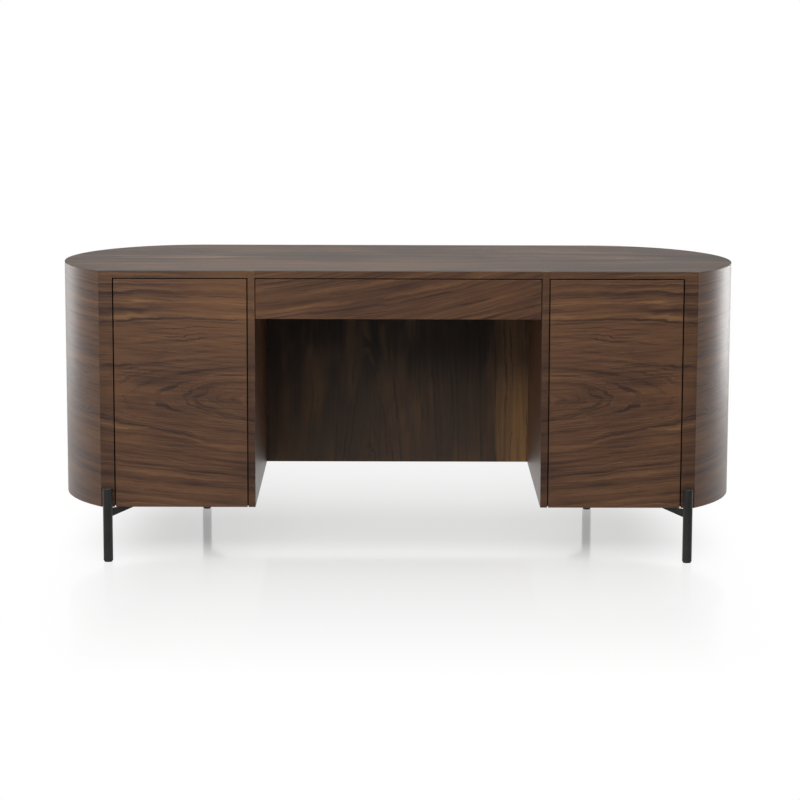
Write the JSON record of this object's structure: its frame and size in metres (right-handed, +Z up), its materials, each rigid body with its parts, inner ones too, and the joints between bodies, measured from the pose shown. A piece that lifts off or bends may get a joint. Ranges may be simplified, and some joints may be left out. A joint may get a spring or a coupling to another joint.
{
  "type": "executive desk",
  "caption": "Knee-hole desk with rounded ends, two cupboards with hinged doors, a middle drawer on telescopic runners, and round steel legs.",
  "frame": {"origin": "on the floor, under the middle of the desk's outline with its legs", "axes": "+X along the desk's width to the user's right, -Y towards the user, +Z up"},
  "size_m": [1.7848, 0.7506, 0.762],
  "materials": {
    "walnut_veneer": "satin walnut veneer",
    "dark_walnut_veneer": "satin dark walnut veneer",
    "birch_plywood": "lacquered birch plywood",
    "charcoal_powder_coat": "satin charcoal powder coat",
    "nickelled_steel": "nickel-plated steel",
    "zinc_plated_steel": "zinc-plated steel sheet",
    "black_nylon": "moulded black nylon"
  },
  "bodies": {
    "casing": {"desktop": "walnut_veneer", "back_panel": "dark_walnut_veneer", "drawer_head_rail": "walnut_veneer", "left_end_shell": "walnut_veneer", "left_stile": "walnut_veneer", "left_door_head_rail": "walnut_veneer", "left_gable": "walnut_veneer", "left_cupboard_floor": "dark_walnut_veneer", "left_hinge_side": "dark_walnut_veneer", "left_shelf": "dark_walnut_veneer", "left_gable_front_shelf_pin": "nickelled_steel", "left_gable_back_shelf_pin": "nickelled_steel", "left_side_front_shelf_pin": "nickelled_steel", "left_side_back_shelf_pin": "nickelled_steel", "left_upper_hinge_arm": "nickelled_steel", "left_lower_hinge_arm": "nickelled_steel", "left_runner_cabinet_channel": "zinc_plated_steel", "right_end_shell": "walnut_veneer", "right_stile": "walnut_veneer", "right_door_head_rail": "walnut_veneer", "right_gable": "walnut_veneer", "right_cupboard_floor": "dark_walnut_veneer", "right_hinge_side": "dark_walnut_veneer", "right_shelf": "dark_walnut_veneer", "right_gable_front_shelf_pin": "nickelled_steel", "right_gable_back_shelf_pin": "nickelled_steel", "right_side_front_shelf_pin": "nickelled_steel", "right_side_back_shelf_pin": "nickelled_steel", "right_upper_hinge_arm": "nickelled_steel", "right_lower_hinge_arm": "nickelled_steel", "right_runner_cabinet_channel": "zinc_plated_steel", "front_left_leg": "charcoal_powder_coat", "front_left_glide": "black_nylon", "front_right_leg": "charcoal_powder_coat", "front_right_glide": "black_nylon", "back_left_leg": "charcoal_powder_coat", "back_left_glide": "black_nylon", "back_right_leg": "charcoal_powder_coat", "back_right_glide": "black_nylon"},
    "left_upper_link": {"left_upper_hinge_link": "nickelled_steel"},
    "left_lower_link": {"left_lower_hinge_link": "nickelled_steel"},
    "left_door": {"left_door": "walnut_veneer", "left_upper_hinge_cup": "nickelled_steel", "left_lower_hinge_cup": "nickelled_steel"},
    "right_upper_link": {"right_upper_hinge_link": "nickelled_steel"},
    "right_lower_link": {"right_lower_hinge_link": "nickelled_steel"},
    "right_door": {"right_door": "walnut_veneer", "right_upper_hinge_cup": "nickelled_steel", "right_lower_hinge_cup": "nickelled_steel"},
    "runner_middles": {"left_runner_middle_channel": "zinc_plated_steel", "right_runner_middle_channel": "zinc_plated_steel"},
    "drawer": {"drawer_front": "walnut_veneer", "drawer_box_front": "birch_plywood", "drawer_left_side": "birch_plywood", "drawer_right_side": "birch_plywood", "drawer_bottom": "birch_plywood", "drawer_back": "birch_plywood", "left_runner_drawer_channel": "zinc_plated_steel", "right_runner_drawer_channel": "zinc_plated_steel"}
  },
  "joints": [
    {"name": "drawer_slide", "type": "slide", "parent": "casing", "child": "drawer", "axis": [0, -1, 0], "range_m": [0, 0.36]},
    {"name": "runner_slide", "type": "slide", "parent": "casing", "child": "runner_middles", "axis": [0, -1, 0], "range_m": [0, 0.18]},
    {"name": "left_upper_link_pivot", "type": "hinge", "parent": "casing", "child": "left_upper_link", "pos_m": [-0.704, -0.3155, 0.656], "axis": [0, 0, 1], "range_deg": [0, 42.9]},
    {"name": "left_lower_link_pivot", "type": "hinge", "parent": "casing", "child": "left_lower_link", "pos_m": [-0.704, -0.3155, 0.2275], "axis": [0, 0, 1], "range_deg": [0, 42.9]},
    {"name": "left_door_pivot", "type": "hinge", "parent": "left_upper_link", "child": "left_door", "pos_m": [-0.7255, -0.3355, 0.656], "axis": [0, 0, -1], "range_deg": [0, 143]},
    {"name": "right_upper_link_pivot", "type": "hinge", "parent": "casing", "child": "right_upper_link", "pos_m": [0.704, -0.3155, 0.656], "axis": [0, 0, -1], "range_deg": [0, 42.9]},
    {"name": "right_lower_link_pivot", "type": "hinge", "parent": "casing", "child": "right_lower_link", "pos_m": [0.704, -0.3155, 0.2275], "axis": [0, 0, -1], "range_deg": [0, 42.9]},
    {"name": "right_door_pivot", "type": "hinge", "parent": "right_upper_link", "child": "right_door", "pos_m": [0.7255, -0.3355, 0.656], "axis": [0, 0, 1], "range_deg": [0, 143]}
  ],
  "couplings": [
    {"joint": "runner_slide", "follows": "drawer_slide", "ratio": 0.5},
    {"joint": "left_upper_link_pivot", "follows": "left_door_pivot", "ratio": 0.3},
    {"joint": "left_lower_link_pivot", "follows": "left_door_pivot", "ratio": 0.3},
    {"joint": "right_upper_link_pivot", "follows": "right_door_pivot", "ratio": 0.3},
    {"joint": "right_lower_link_pivot", "follows": "right_door_pivot", "ratio": 0.3}
  ]
}
